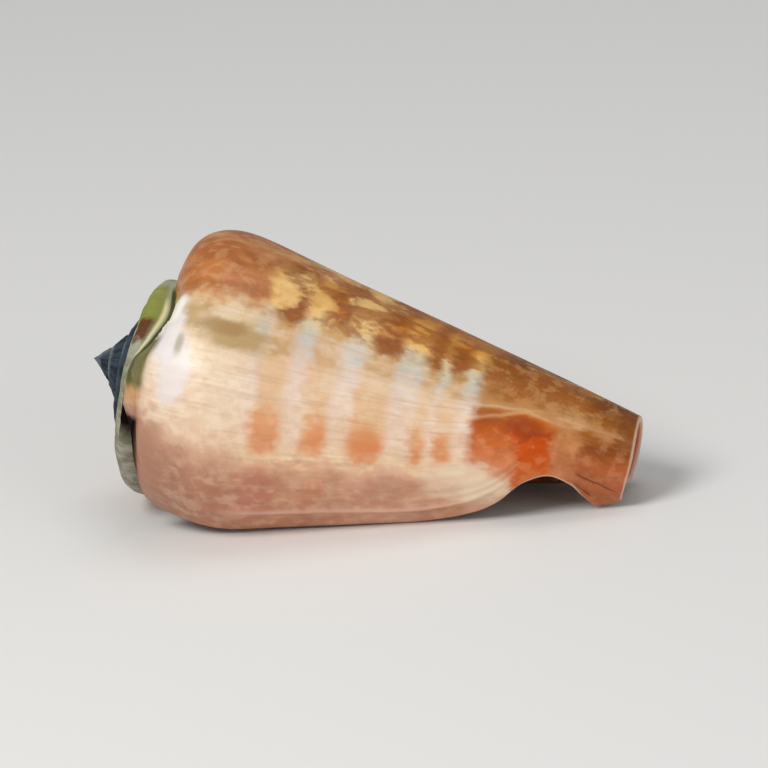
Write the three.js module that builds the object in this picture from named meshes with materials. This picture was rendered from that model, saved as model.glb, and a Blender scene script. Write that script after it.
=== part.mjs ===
// Conch shell, grown as one piece and built as one solid: a low stepped spire, a conical last whorl,
// a free outer lip with a sinus behind and a notch near the front, a long narrow mouth and an open canal.
// Millimetres, +Z up. The shell lies on its mouth as it would on a table, with its front end towards +X.
import * as THREE from "three";

// Coiling. Growth is an angle in degrees about the axis: 0 at the lip, less than 0 on older shell.
const TURN = 360;
const APEX_GROWTH = -1900;
const LIP_AZIMUTH = 68;

// Size of the whorl at each stage of growth, largest at the shoulder.
const SHOULDER_RADIUS = {
  growth: [-1900, -1598, -1238, -878, -518, -338, -280, -158, -60, 0],
  value: [0.3, 1.2, 2.6, 4.9, 8.2, 11.1, 12.2, 13.45, 13.65, 13.7],
};
const SHOULDER_STATION = {
  growth: [-1900, -1598, -1238, -878, -518, -338, -280, -158, -60, 0],
  value: [0.4, 1.3, 2.5, 3.9, 5.8, 7.6, 8.9, 11.7, 13.7, 15.0],
};
// The front end of the whorl, where the canal opens.
const END_RADIUS = {
  growth: [-660, -450, -360, -280, -220, -158, -60, 0],
  value: [1.1, 1.6, 2.1, 3.1, 3.6, 3.8, 4.2, 4.5],
};
const END_STATION = { growth: [-660, -360, -158, -68, 0], value: [47.8, 48.8, 49.3, 49.9, 49.2] };
// Three points of the ramp between suture and shoulder, as parts of the way down the axis and out from
// it: flush on the worn apex, a steep step on the next whorls, rounder towards the lip.
const RAMP_STAGES = [-900, -600, -158, -60];
const RAMP_DOWN = [[0.33, 0, 0, 0.13], [0.67, 0.07, 0.1, 0.3], [1, 0.38, 0.4, 0.55]];
const RAMP_OUT = [[0.33, 0.28, 0.28, 0.28], [0.67, 0.7, 0.7, 0.6], [0.95, 0.95, 0.95, 0.86]];
// How hollow the flank is between shoulder and front end: 1 is straight, more is hollow.
const FLANK_HOLLOW = {
  growth: [-450, -360, -330, -300, -260, -158, 0],
  value: [3.5, 3.4, 2.0, 0.95, 0.7, 0.94, 0.84],
};
const FLANK_STATIONS = [0.15, 0.4, 0.65, 0.85, 1.0];

// The profile runs from the suture, 0, over the ramp and the shoulder to the front end, 9.
const PROFILE_END = 9;
const SUTURE_PLACE = {
  growth: [-160, -130, -104, -84, -77, -72, -64, -50],
  value: [3.8, 3.95, 4.15, 3.9, 3.65, 3.3, 3.0, 3.1],
};
const GROOVE_STEP = 0.22;

// The edge of the lip, as degrees set back from its straight part, by place on the profile.
const LIP_SETBACK = {
  place: [0, 0.7, 1.2, 1.5, 1.9, 7.05, 7.3, 7.6, 7.9, 8.2, 8.45, 8.7, 9],
  value: [-47, -42, -34, -8, 0, 0, -11, -36, -43, -36, -20, -3, -6],
};
const SETBACK_REACH = 150;

// The spire leans a little: as a part of the radius, in full at the first station and gone at the second.
const SPIRE_LEAN = 0.07;
const LEAN_FADE = [4, 13];

const WALL = 1.1;
const WALL_AT_FRONT = 0.8;
const LIP_ROUND = 0.4;
const MOUTH_DEPTH = 300;

// How finely the surface is cut.
const ROWS_PER_TURN = 45;
const RAMP_COLUMNS = 6;
const SHOULDER_COLUMNS = 4;
const FLANK_PLACES = [
  4.6, 5.2, 5.7, 6.15, 6.55, 6.85, 7.05, 7.2, 7.35, 7.5, 7.65, 7.9, 8.15, 8.35, 8.5, 8.65, 8.8, 9,
];

// How the shell lies: roll about its axis and dip of its front end.
const REST_ROLL = -23.3;
const REST_DIP = 11.4;

/** A smooth curve through keys that never swings past them. */
function along(keys, x) {
  const xs = keys.growth ?? keys.place;
  const ys = keys.value;
  const last = xs.length - 1;
  if (x <= xs[0]) return ys[0];
  if (x >= xs[last]) return ys[last];
  let k = 0;
  while (x > xs[k + 1]) k++;
  const step = (i) => xs[i + 1] - xs[i];
  const rise = (i) => (ys[i + 1] - ys[i]) / step(i);
  const slope = (i) => {
    if (i === 0) return rise(0);
    if (i === last) return rise(last - 1);
    if (rise(i - 1) * rise(i) <= 0) return 0;
    const before = 2 * step(i) + step(i - 1);
    const after = step(i) + 2 * step(i - 1);
    return (before + after) / (before / rise(i - 1) + after / rise(i));
  };
  const h = step(k);
  const t = (x - xs[k]) / h;
  const ends = (2 * t ** 3 - 3 * t ** 2 + 1) * ys[k] + (3 * t ** 2 - 2 * t ** 3) * ys[k + 1];
  return ends + h * ((t ** 3 - 2 * t ** 2 + t) * slope(k) + (t ** 3 - t ** 2) * slope(k + 1));
}

/** A uniform cubic B-spline through its first and last point, at place 0 to points.length - 1. */
function spline(points, place) {
  const last = points.length - 1;
  const k = Math.min(Math.max(Math.floor(place), 0), last - 1);
  const t = place - k;
  const mirrored = (i, j) => points[i].map((v, n) => 2 * v - points[j][n]);
  const before = k > 0 ? points[k - 1] : mirrored(0, 1);
  const after = k < last - 1 ? points[k + 2] : mirrored(last, last - 1);
  const weights = [(1 - t) ** 3, 3 * t ** 3 - 6 * t ** 2 + 4, -3 * t ** 3 + 3 * t ** 2 + 3 * t + 1, t ** 3];
  const near = [before, points[k], points[k + 1], after];
  return [0, 1].map((n) => near.reduce((sum, point, i) => sum + (weights[i] * point[n]) / 6, 0));
}

/** Where the suture of the next whorl runs over the profile of this one. */
function suturePlace(growth) {
  return along(SUTURE_PLACE, growth + TURN);
}

const profilePoints = new Map();
/** The points that shape the profile at one stage of growth, as [station, radius]. */
function profileShape(growth) {
  const key = growth.toFixed(6);
  if (profilePoints.has(key)) return profilePoints.get(key);
  const radius = along(SHOULDER_RADIUS, growth);
  const station = along(SHOULDER_STATION, growth);
  let suture = [0, 0];
  if (growth > APEX_GROWTH) suture = profile(growth - TURN, suturePlace(growth - TURN));
  const across = (part) => suture[1] + part * (radius - suture[1]);
  const down = (part) => suture[0] + part * (station - suture[0]);
  const points = [suture];
  for (let i = 0; i < RAMP_DOWN.length; i++) {
    const partDown = along({ growth: RAMP_STAGES, value: RAMP_DOWN[i] }, growth);
    const partOut = along({ growth: RAMP_STAGES, value: RAMP_OUT[i] }, growth);
    points.push([down(partDown), across(partOut)]);
  }
  points.push([down(1.02), radius * 1.025]);
  const small = Math.min(1, radius / 8);
  const endStation = station + small * (along(END_STATION, growth) - station);
  const endRadius = small * along(END_RADIUS, growth);
  for (const part of FLANK_STATIONS) {
    const hollow = (1 - part) ** along(FLANK_HOLLOW, growth);
    points.push([station + part * (endStation - station), endRadius + (radius - endRadius) * hollow]);
  }
  profilePoints.set(key, points);
  return points;
}

/** The outside of the shell at a stage of growth and a place on its profile, as [station, radius]. */
function profile(growth, place) {
  return spline(profileShape(growth), place);
}

/** The inside of the wall opposite that point. */
function innerProfile(growth, place) {
  const step = 0.02;
  const [a0, r0] = profile(growth, Math.max(place - step, 0));
  const [a1, r1] = profile(growth, Math.min(place + step, PROFILE_END));
  const [a, r] = profile(growth, place);
  const length = Math.hypot(a1 - a0, r1 - r0);
  const wall = THREE.MathUtils.lerp(WALL, WALL_AT_FRONT, THREE.MathUtils.smoothstep(place, 6, PROFILE_END));
  return [a + (wall * (r1 - r0)) / length, r - (wall * (a1 - a0)) / length];
}

/** Turns station, radius and growth angle into a point of the shell, before it is laid down. */
function place3(point, growth) {
  const azimuth = THREE.MathUtils.degToRad(growth + LIP_AZIMUTH);
  const [station, radius] = point;
  const lean = SPIRE_LEAN * (1 - THREE.MathUtils.smoothstep(station, ...LEAN_FADE));
  const across = radius * Math.sin(azimuth);
  return new THREE.Vector3(station - lean * across, -radius * Math.cos(azimuth), -across);
}

const ROW_STEP = TURN / ROWS_PER_TURN;
const APEX_ROW = Math.round(-APEX_GROWTH / ROW_STEP);
const MOUTH_ROWS = Math.round(MOUTH_DEPTH / ROW_STEP);
const COLUMNS = RAMP_COLUMNS + SHOULDER_COLUMNS + FLANK_PLACES.length;

/** Places on the profile that one row of vertices takes. */
function columnPlaces(row) {
  const suture = rowSuture(row);
  const start = suture + GROOVE_STEP;
  const places = [];
  for (let j = 0; j <= RAMP_COLUMNS; j++) places.push((suture * j) / RAMP_COLUMNS);
  for (let j = 0; j < SHOULDER_COLUMNS; j++) {
    places.push(THREE.MathUtils.lerp(start, FLANK_PLACES[0], j / SHOULDER_COLUMNS));
  }
  return places.concat(FLANK_PLACES);
}

/** How far a row is bent towards the shape of the lip: 1 at the lip, 0 beyond SETBACK_REACH. */
function bend(degrees) {
  return 1 - THREE.MathUtils.smoothstep(Math.abs(degrees), 0, SETBACK_REACH);
}

/** Where the suture of the next whorl crosses a row, which is bent there as the lip's sinus is. */
function rowSuture(row) {
  const growth = -row * ROW_STEP;
  return suturePlace(growth + along(LIP_SETBACK, 0) * bend(growth + TURN));
}

/** Growth angle of a vertex: rows follow the lip near the lip, and the sinus on the whorl before. */
function vertexGrowth(row, place) {
  const growth = -row * ROW_STEP;
  const sinus = THREE.MathUtils.smoothstep(place, 0, rowSuture(row)) * along(LIP_SETBACK, 0);
  return growth + along(LIP_SETBACK, place) * bend(growth) + sinus * bend(growth + TURN);
}

const vertices = [];
const triangles = [];
function vertex(point) {
  vertices.push(point);
  return vertices.length - 1;
}

/** A triangle, left out where two of its corners are one. */
function triangle(a, b, c) {
  if (a !== b && b !== c && a !== c) triangles.push([a, b, c]);
}

/** Two triangles between four vertices, parted along the shorter diagonal. */
function quad(a, b, c, d) {
  const corner = [a, b, c, d].map((i) => vertices[i]);
  if (corner[0].distanceTo(corner[2]) <= corner[1].distanceTo(corner[3])) {
    triangle(a, b, c);
    triangle(a, c, d);
  } else {
    triangle(a, b, d);
    triangle(b, c, d);
  }
}

/** Joins two lines of vertices with unlike counts, first to first and last to last. */
function zip(first, second) {
  let i = 0;
  let j = 0;
  while (i < first.length - 1 || j < second.length - 1) {
    const firstNext = (i + 1) / (first.length - 1);
    const secondNext = (j + 1) / (second.length - 1);
    if (j === second.length - 1 || (i < first.length - 1 && firstNext <= secondNext)) {
      triangle(first[i], first[i + 1], second[j]);
      i++;
    } else {
      triangle(first[i], second[j + 1], second[j]);
      j++;
    }
  }
}

// Vertices of the outside, row by row from the lip back to the apex. The suture of a whorl is the
// same vertex as the place where it meets the whorl before.
const outside = [];
for (let row = 0; row <= APEX_ROW; row++) {
  const covered = row > ROWS_PER_TURN + MOUTH_ROWS;
  const count = covered ? RAMP_COLUMNS + 1 : COLUMNS + 1;
  const line = [];
  const places = columnPlaces(row);
  for (let j = 0; j < count; j++) {
    const growth = vertexGrowth(row, places[j]);
    line.push(j === 0 ? -1 : vertex(place3(profile(growth, places[j]), growth)));
  }
  outside.push(line);
}
const apex = vertex(new THREE.Vector3(0, 0, 0));
for (let row = 0; row <= APEX_ROW; row++) {
  const before = row + ROWS_PER_TURN;
  outside[row][0] = before <= APEX_ROW ? outside[before][RAMP_COLUMNS] : apex;
}

// The outside: the last whorl over its whole profile, the spire as far as its sutures.
for (let row = 0; row < APEX_ROW; row++) {
  const end = row < ROWS_PER_TURN ? COLUMNS : RAMP_COLUMNS;
  for (let j = 0; j < end; j++) {
    quad(outside[row][j], outside[row][j + 1], outside[row + 1][j + 1], outside[row + 1][j]);
  }
}
for (let j = 0; j < RAMP_COLUMNS; j++) triangle(outside[APEX_ROW][j], outside[APEX_ROW][j + 1], apex);

// Inside the mouth: the whorl before goes on as its inner wall, and the wall of the last whorl is
// lined at its thickness. Both run to a dead end well out of sight.
const groove = RAMP_COLUMNS + 1;
const inside = [];
for (let row = 0; row <= MOUTH_ROWS; row++) {
  const places = columnPlaces(row);
  const line = [outside[row + ROWS_PER_TURN][groove]];
  for (let j = 1; j <= COLUMNS; j++) {
    const growth = vertexGrowth(row, places[j]);
    line.push(vertex(place3(innerProfile(growth, places[j]), growth)));
  }
  inside.push(line);
}
for (let row = 0; row < MOUTH_ROWS; row++) {
  for (let j = 0; j < COLUMNS; j++) {
    quad(inside[row][j + 1], inside[row][j], inside[row + 1][j], inside[row + 1][j + 1]);
  }
  const older = row + ROWS_PER_TURN;
  for (let j = groove; j < COLUMNS; j++) {
    quad(outside[older][j], outside[older][j + 1], outside[older + 1][j + 1], outside[older + 1][j]);
  }
}
zip(outside[ROWS_PER_TURN + MOUTH_ROWS].slice(groove), inside[MOUTH_ROWS]);

// The rounded edge of the lip and of the canal, from the sinus round the front to the columella.
const outerEdge = [...outside[0]];
const innerEdge = [...inside[0]];
const outward = [];
for (let j = 0; j <= COLUMNS; j++) {
  const behind = vertices[outside[1][j]];
  outward.push(vertices[outside[0][j]].clone().sub(behind));
}
for (let row = 1; row <= MOUTH_ROWS; row++) {
  outerEdge.push(outside[row][COLUMNS]);
  innerEdge.push(inside[row][COLUMNS]);
  outward.push(new THREE.Vector3(1, 0, 0));
}
const rim = outerEdge.map((outer, i) => {
  if (i === 0) return innerEdge[0];
  const middle = vertices[outer].clone().add(vertices[innerEdge[i]]).multiplyScalar(0.5);
  const tail = Math.min(1, i / 3);
  return vertex(middle.add(outward[i].normalize().multiplyScalar(LIP_ROUND * tail)));
});
for (let i = 0; i < rim.length - 1; i++) {
  quad(outerEdge[i + 1], outerEdge[i], rim[i], rim[i + 1]);
  quad(rim[i + 1], rim[i], innerEdge[i], innerEdge[i + 1]);
}

// The front end of the columella, closed round its middle.
const tip = [];
for (let row = MOUTH_ROWS; row <= ROWS_PER_TURN + MOUTH_ROWS; row++) tip.push(outside[row][COLUMNS]);
tip.push(inside[MOUTH_ROWS][COLUMNS]);
tip.push(rim[rim.length - 1]);
const tipMiddle = new THREE.Vector3();
for (const i of tip) tipMiddle.add(vertices[i]);
const tipCentre = vertex(tipMiddle.multiplyScalar(1 / tip.length));
tip.forEach((i, n) => triangle(tip[(n + 1) % tip.length], i, tipCentre));

// Laid down: rolled about its axis on to the lip, front end dipped, lowest point at zero.
const lay = new THREE.Matrix4().makeRotationY(THREE.MathUtils.degToRad(REST_DIP));
lay.multiply(new THREE.Matrix4().makeRotationX(THREE.MathUtils.degToRad(REST_ROLL)));
const shape = new THREE.BufferGeometry().setFromPoints(vertices);
shape.setIndex(triangles.flat());
shape.applyMatrix4(lay);
shape.computeBoundingBox();
const { min, max } = shape.boundingBox;
shape.translate(-(min.x + max.x) / 2, -(min.y + max.y) / 2, -min.z);
shape.computeVertexNormals();

const glossyShell = new THREE.MeshStandardMaterial({ color: "#d9a070", roughness: 0.35, metalness: 0 });
const shell = new THREE.Mesh(shape, glossyShell);
shell.name = "shell";
const conch = new THREE.Group();
conch.add(shell);
export default conch;
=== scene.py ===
# %% [markdown]
# # A conch shell
#
# This lesson dresses one small sea shell, about 50 mm long, that lies on its mouth on a pale table.
# Such a shell grows at its lip, as one tube that widens and winds about an axis. We build it in the same
# way: one outline, drawn from the suture over the shoulder to the front end, is swept back from the lip
# towards the apex, and everything on the shell is placed by how old that bit of shell is.

import bpy
import numpy as np
from mathutils import Matrix, Vector


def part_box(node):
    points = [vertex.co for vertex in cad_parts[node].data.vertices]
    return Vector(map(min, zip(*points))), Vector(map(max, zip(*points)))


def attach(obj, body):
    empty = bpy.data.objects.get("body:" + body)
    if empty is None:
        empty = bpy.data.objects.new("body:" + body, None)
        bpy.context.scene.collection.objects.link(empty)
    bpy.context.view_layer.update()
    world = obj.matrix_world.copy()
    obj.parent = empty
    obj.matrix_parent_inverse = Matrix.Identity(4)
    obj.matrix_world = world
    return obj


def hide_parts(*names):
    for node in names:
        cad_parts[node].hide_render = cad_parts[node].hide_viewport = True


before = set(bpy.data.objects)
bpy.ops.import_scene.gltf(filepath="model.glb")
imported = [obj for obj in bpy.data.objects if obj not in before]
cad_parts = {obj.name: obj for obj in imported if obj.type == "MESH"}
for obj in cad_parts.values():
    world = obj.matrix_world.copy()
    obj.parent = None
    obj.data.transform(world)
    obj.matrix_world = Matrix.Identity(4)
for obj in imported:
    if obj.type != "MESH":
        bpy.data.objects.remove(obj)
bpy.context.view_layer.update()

# %% [markdown]
# ## How the shell grows
#
# The real wall is laid down in thin steps, and each step is the lip of its day. So the shape needs only
# a few lists against the growth angle, in degrees about the axis: 0 at the lip and less than 0 on older
# shell. They are the lists that the solid part was made from, but for the lip's lower corner, which is a
# little rounder here. A drawn curve object could hold them, but plain lists are shorter and can be asked
# for any angle.

# %% Growth lists, in millimetres
TURN = 360.0
APEX_GROWTH = -1900.0
LIP_AZIMUTH = 68.0

STAGES = [-1900, -1598, -1238, -878, -518, -338, -280, -158, -60, 0]
SHOULDER_RADIUS = STAGES, [0.3, 1.2, 2.6, 4.9, 8.2, 11.1, 12.2, 13.45, 13.65, 13.7]
SHOULDER_STATION = STAGES, [0.4, 1.3, 2.5, 3.9, 5.8, 7.6, 8.9, 11.7, 13.7, 15.0]
END_RADIUS = [-660, -450, -360, -280, -220, -158, -60, 0], [1.1, 1.6, 2.1, 3.1, 3.6, 3.8, 4.2, 4.5]
END_STATION = [-660, -360, -158, -68, 0], [47.8, 48.8, 49.3, 49.9, 49.2]
RAMP_STAGES = [-900, -600, -158, -60]
RAMP_DOWN = [0.33, 0, 0, 0.13], [0.67, 0.07, 0.1, 0.3], [1, 0.38, 0.4, 0.55]
RAMP_OUT = [0.33, 0.28, 0.28, 0.28], [0.67, 0.7, 0.7, 0.6], [0.95, 0.95, 0.95, 0.86]
FLANK_HOLLOW = [-450, -360, -330, -300, -260, -158, 0], [3.5, 3.4, 2.0, 0.95, 0.7, 0.94, 0.84]
FLANK_STATIONS = [0.15, 0.4, 0.65, 0.85, 1.0]
SHOULDER_DOWN, SHOULDER_OUT, FULL_RADIUS = 1.02, 1.025, 8.0
PROFILE_END = 9.0
SUTURE_PLACE = [-160, -130, -104, -84, -77, -72, -64, -50], [3.8, 3.95, 4.15, 3.9, 3.65, 3.3, 3, 3.1]
GROOVE_STEP = 0.22
LIP_SETBACK = (
    [0, 0.7, 1.2, 1.5, 1.9, 6.3, 6.7, 7.05, 7.3, 7.6, 7.9, 8.2, 8.45, 8.7, 9],
    [-47, -42, -34, -8, 0, 0, -3, -9, -18, -36, -43, -36, -20, -3, -6],
)
SETBACK_REACH = 150.0
SPIRE_LEAN = 0.07
LEAN_FADE = 4.0, 13.0
WALL, WALL_AT_FRONT, LIP_ROUND = 1.1, 0.8, 0.4
THIN_FROM, PLACE_STEP = 6.0, 0.02
MOUTH_DEPTH = 300.0
REST_ROLL, REST_DIP = -23.3, 11.4
print("Turns from apex to lip:", round(-APEX_GROWTH / TURN, 1))

# %% [markdown]
# ### Smooth curves through lists
#
# Growth is smooth, so the values between two keys of a list have to run smoothly too. Straight lines
# would leave creases on the shell, and an ordinary spline can swing past its keys. The curve below takes
# a slope at each key from its two neighbours and is flat wherever the list turns, so it never overshoots.


# %% Curves through the lists
def along(curve, x):
    """A smooth curve through keys that never swings past them."""
    keys, values = (np.array(part, float) for part in curve)
    step = np.diff(keys)
    rise = np.diff(values) / step
    slope = np.zeros(len(keys))
    slope[0], slope[-1] = rise[0], rise[-1]
    before, after = 2 * step[1:] + step[:-1], step[1:] + 2 * step[:-1]
    turns = rise[:-1] * rise[1:] <= 0
    first, second = np.where(turns, 1, rise[:-1]), np.where(turns, 1, rise[1:])
    slope[1:-1] = np.where(turns, 0, (before + after) / (before / first + after / second))
    x = np.clip(x, keys[0], keys[-1])
    k = np.clip(np.searchsorted(keys, x, side="right") - 1, 0, len(step) - 1)
    t = (x - keys[k]) / step[k]
    ends = (2 * t**3 - 3 * t**2 + 1) * values[k] + (3 * t**2 - 2 * t**3) * values[k + 1]
    return ends + step[k] * ((t**3 - 2 * t**2 + t) * slope[k] + (t**3 - t**2) * slope[k + 1])


def ease(x, low, high):
    """0 below low, 1 above high, and a soft step between."""
    t = np.clip((x - low) / (high - low), 0, 1)
    return t * t * (3 - 2 * t)


print("Shoulder radius half a turn back:", round(float(along(SHOULDER_RADIUS, -180.0)), 2), "mm")

# %% [markdown]
# ## The outline of one growth step
#
# On the real shell the outline leaves the suture, climbs a ramp, rounds the shoulder and runs down a long
# flank to the front end. Ten points shape it, and a B-spline rounds them. The suture is a point on the
# outline of one turn before, so each outline asks for an older one, back to the apex.


# %% Outline
def suture_place(growth):
    """Where the suture of the next whorl runs over the outline of this one."""
    return along(SUTURE_PLACE, growth + TURN)


def outline_points(growth):
    """The ten points that shape each outline, as station and radius."""
    radius, station = along(SHOULDER_RADIUS, growth), along(SHOULDER_STATION, growth)
    suture = np.zeros((len(growth), 2))
    grown = growth > APEX_GROWTH
    if grown.any():
        older = growth[grown] - TURN
        suture[grown] = outline(older, suture_place(older))
    down = station - suture[:, 0]
    across = radius - suture[:, 1]
    points = [suture]
    for down_keys, out_keys in zip(RAMP_DOWN, RAMP_OUT):
        part_down = along((RAMP_STAGES, down_keys), growth)
        part_out = along((RAMP_STAGES, out_keys), growth)
        points.append(np.stack([suture[:, 0] + part_down * down, suture[:, 1] + part_out * across], 1))
    points.append(np.stack([suture[:, 0] + SHOULDER_DOWN * down, radius * SHOULDER_OUT], 1))
    small = np.minimum(1, radius / FULL_RADIUS)
    end_station = station + small * (along(END_STATION, growth) - station)
    end_radius = small * along(END_RADIUS, growth)
    for part in FLANK_STATIONS:
        hollow = (1 - part) ** along(FLANK_HOLLOW, growth)
        flank = station + part * (end_station - station), end_radius + (radius - end_radius) * hollow
        points.append(np.stack(flank, 1))
    return np.stack(points, 1)


def outline(growth, place):
    """Station along the axis and radius, for a growth angle and a place from 0, suture, to 9, front."""
    points = outline_points(growth)
    first = 2 * points[:, :1] - points[:, 1:2]
    last = 2 * points[:, -1:] - points[:, -2:-1]
    points = np.concatenate([first, points, last], 1)
    k = np.clip(np.floor(place).astype(int), 0, points.shape[1] - 4)
    t = (place - k)[:, None]
    weights = (1 - t) ** 3, 3 * t**3 - 6 * t**2 + 4, -3 * t**3 + 3 * t**2 + 3 * t + 1, t**3
    return sum(weight * points[np.arange(len(k)), k + i] for i, weight in enumerate(weights)) / 6


def lining(growth, place):
    """The inside of the wall, opposite the same place of the outline."""
    before = outline(growth, np.maximum(place - PLACE_STEP, 0))
    after = outline(growth, np.minimum(place + PLACE_STEP, PROFILE_END))
    run = (after - before) / np.linalg.norm(after - before, axis=1, keepdims=True)
    wall = WALL + (WALL_AT_FRONT - WALL) * ease(place, THIN_FROM, PROFILE_END)
    return outline(growth, place) + wall[:, None] * np.stack([run[:, 1], -run[:, 0]], 1)


def turned(points, growth):
    """Station and radius, wound about the axis."""
    azimuth = np.radians(growth + LIP_AZIMUTH)
    across = points[:, 1] * np.sin(azimuth)
    lean = SPIRE_LEAN * (1 - ease(points[:, 0], *LEAN_FADE))
    return np.stack([points[:, 0] - lean * across, -points[:, 1] * np.cos(azimuth), -across], 1)


shoulder = outline(np.array([-90.0]), np.array([4.0]))[0]
print("Shoulder a quarter turn back: station %.1f mm, radius %.1f mm" % tuple(shoulder))

# %% [markdown]
# ## Rows of vertices
#
# The free edge of the lip isn't straight: it is set back at the suture, as a sinus, and again near the
# front, as a notch. Rows of vertices that stay straight would cut across it in steps, so near the lip
# the rows bend to its shape. The same rows carry the growth lines later, which is how real ones run.

# %% Rows and columns
ROWS_PER_TURN = 240
RAMP_COLUMNS = 14
SHOULDER_COLUMNS = 10
FLANK_SPLIT = 4
FLANK_PLACES = [
    4.6, 5.2, 5.7, 6.15, 6.55, 6.85, 7.05, 7.2, 7.35, 7.5, 7.65, 7.9, 8.15, 8.35, 8.5, 8.65, 8.8, 9,
]
ROW_STEP = TURN / ROWS_PER_TURN
APEX_ROW = round(-APEX_GROWTH / ROW_STEP)
MOUTH_ROWS = round(MOUTH_DEPTH / ROW_STEP)
OLD_ROWS = ROWS_PER_TURN + MOUTH_ROWS
flank_index = np.arange(0, len(FLANK_PLACES) - 1 + 1e-9, 1 / FLANK_SPLIT)
flank_columns = np.interp(flank_index, range(len(FLANK_PLACES)), FLANK_PLACES)
COLUMNS = RAMP_COLUMNS + SHOULDER_COLUMNS + len(flank_columns)


def bend(degrees):
    """How far a row is bent to the shape of the lip: 1 at the lip, 0 beyond the reach."""
    return 1 - ease(np.abs(degrees), 0, SETBACK_REACH)


def row_suture(line):
    """The place on a bent row where the suture of the next whorl crosses it."""
    return suture_place(line + along(LIP_SETBACK, 0.0) * bend(line + TURN))


def growth_at(line, place):
    """Growth angle at a place on a bent row, which is known by the angle of its straight part."""
    sinus = ease(place, 0, row_suture(line)) * along(LIP_SETBACK, 0.0)
    return line + along(LIP_SETBACK, place) * bend(line) + sinus * bend(line + TURN)


def row_places(line):
    """The places of one row's vertices, ramp first."""
    suture = float(row_suture(np.float64(line)))
    ramp = suture * np.arange(RAMP_COLUMNS + 1) / RAMP_COLUMNS
    start = suture + GROOVE_STEP
    over = start + (flank_columns[0] - start) * np.arange(SHOULDER_COLUMNS) / SHOULDER_COLUMNS
    return np.concatenate([ramp, over, flank_columns])


print("Rows:", APEX_ROW, "columns:", COLUMNS)

# %% [markdown]
# ## One closed skin
#
# The shell is one piece of mineral, so its mesh is one closed skin: the outside of the last whorl, the
# ramps of the spire, the lining of the mouth, the older whorl that goes on inside the mouth as its inner
# wall, and a rounded rim. Cutting holes with booleans would leave ragged edges along the mouth. Sewing
# the sheets row by row gives clean ones, and where a whorl meets the one before they share vertices.
#
# A shared vertex has two ages, a turn apart. So what a point knows about itself, its traits, is kept on
# the corners of the faces: growth angle, place on the outline, station, row, layer, and ramp, which is 0
# at its own suture and 1 at the next one. The layer is 0 outside, 2 on the lining and between on the rim.

# %% Sheets of vertices
TRAITS = "growth", "place", "station", "line", "layer", "ramp"
OUTSIDE, LINING, INNER_WALL = 0, 2, 3
LAYER_COLUMN = TRAITS.index("layer")
points, traits, faces = [], [], []


def sheet(lines, layer, section, first=0, last=COLUMNS):
    """Vertices for some rows; returns their numbers, row by row."""
    line = np.repeat(lines, last - first + 1)
    place = np.concatenate([row_places(one)[first : last + 1] for one in lines])
    growth = growth_at(line, place)
    flat = section(growth, place)
    base = sum(len(part) for part in points)
    points.append(turned(flat, growth))
    ramp = place / np.repeat([float(row_suture(one)) for one in lines], last - first + 1)
    layers = np.full(len(line), float(layer))
    traits.append(np.stack([growth, place, flat[:, 0], line, layers, ramp], 1))
    return base + np.arange(len(line)).reshape(len(lines), -1)


def weave(grid):
    """Four-sided faces between the rows of a sheet."""
    ring = grid[:-1, :-1], grid[:-1, 1:], grid[1:, 1:], grid[1:, :-1]
    faces.append(np.stack(ring, -1).reshape(-1, 4))


last_whorl = sheet(-ROW_STEP * np.arange(ROWS_PER_TURN + 1), OUTSIDE, outline)
spire = sheet(-ROW_STEP * np.arange(ROWS_PER_TURN, APEX_ROW + 1), OUTSIDE, outline, 0, RAMP_COLUMNS)
inner_wall = sheet(
    -ROW_STEP * np.arange(ROWS_PER_TURN, OLD_ROWS + 1), INNER_WALL, outline, RAMP_COLUMNS
)
lining_rows = sheet(-ROW_STEP * np.arange(MOUTH_ROWS + 1), LINING, lining)
for grid in (last_whorl, spire, inner_wall[:, 1:], lining_rows[:, ::-1]):
    weave(grid)
print("Vertices in the sheets:", sum(len(part) for part in points))

# %% [markdown]
# ### Sewing
#
# Where two sheets meet, on the suture and round the mouth, the real shell has no joint at all. Merging
# vertices by distance could also close gaps that should stay open. So the sheets are made with matching
# rows, and a list says which vertex is the same as which other one.


# %% Sewing the sheets together
def line_of_points(place, traits_of):
    """Loose vertices; returns their numbers."""
    base = sum(len(part) for part in points)
    points.append(np.array(place, float))
    traits.append(np.array(traits_of, float))
    return base + np.arange(len(place))


def at(numbers):
    """Where some vertices are."""
    return np.concatenate(points)[numbers]


def traits_at(numbers):
    """What some vertices know about themselves."""
    return np.concatenate(traits)[numbers]


apex = line_of_points([[0, 0, 0]], [[APEX_GROWTH, 0, 0, APEX_GROWTH, OUTSIDE, 0]])[0]
same_as = {}
older_suture = np.concatenate([last_whorl[:-1, RAMP_COLUMNS], spire[:, RAMP_COLUMNS]])
younger_suture = np.concatenate([last_whorl[:-1, 0], spire[:, 0]])
for row, number in enumerate(younger_suture):
    before = row + ROWS_PER_TURN
    same_as[number] = older_suture[before] if before <= APEX_ROW else apex
same_as[last_whorl[-1, 0]] = spire[0, 0]
same_as.update(zip(spire[0, 1:], last_whorl[-1, 1 : RAMP_COLUMNS + 1]))
same_as.update(zip(inner_wall[0, 1:], last_whorl[-1, RAMP_COLUMNS + 1 :]))
same_as.update(zip(lining_rows[:, 0], inner_wall[: MOUTH_ROWS + 1, 1]))
print("Vertices that are shared:", len(same_as))

# %% [markdown]
# ## Rim, dead end and tips
#
# A grown lip is finished with a smooth rounded rim, so half a ring of vertices joins the outside to the
# lining. Far inside the mouth, out of sight, the hollow simply closes. The front end of the columella,
# the pillar that the whorls wind about, is closed over a low dome.

# %% Rim
RIM_STEPS = 6
RIM_FADE = 8


def ribbon(first, second):
    """Four-sided faces between two lines of as many vertices."""
    faces.append(np.stack([first[1:], first[:-1], second[:-1], second[1:]], -1))


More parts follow.
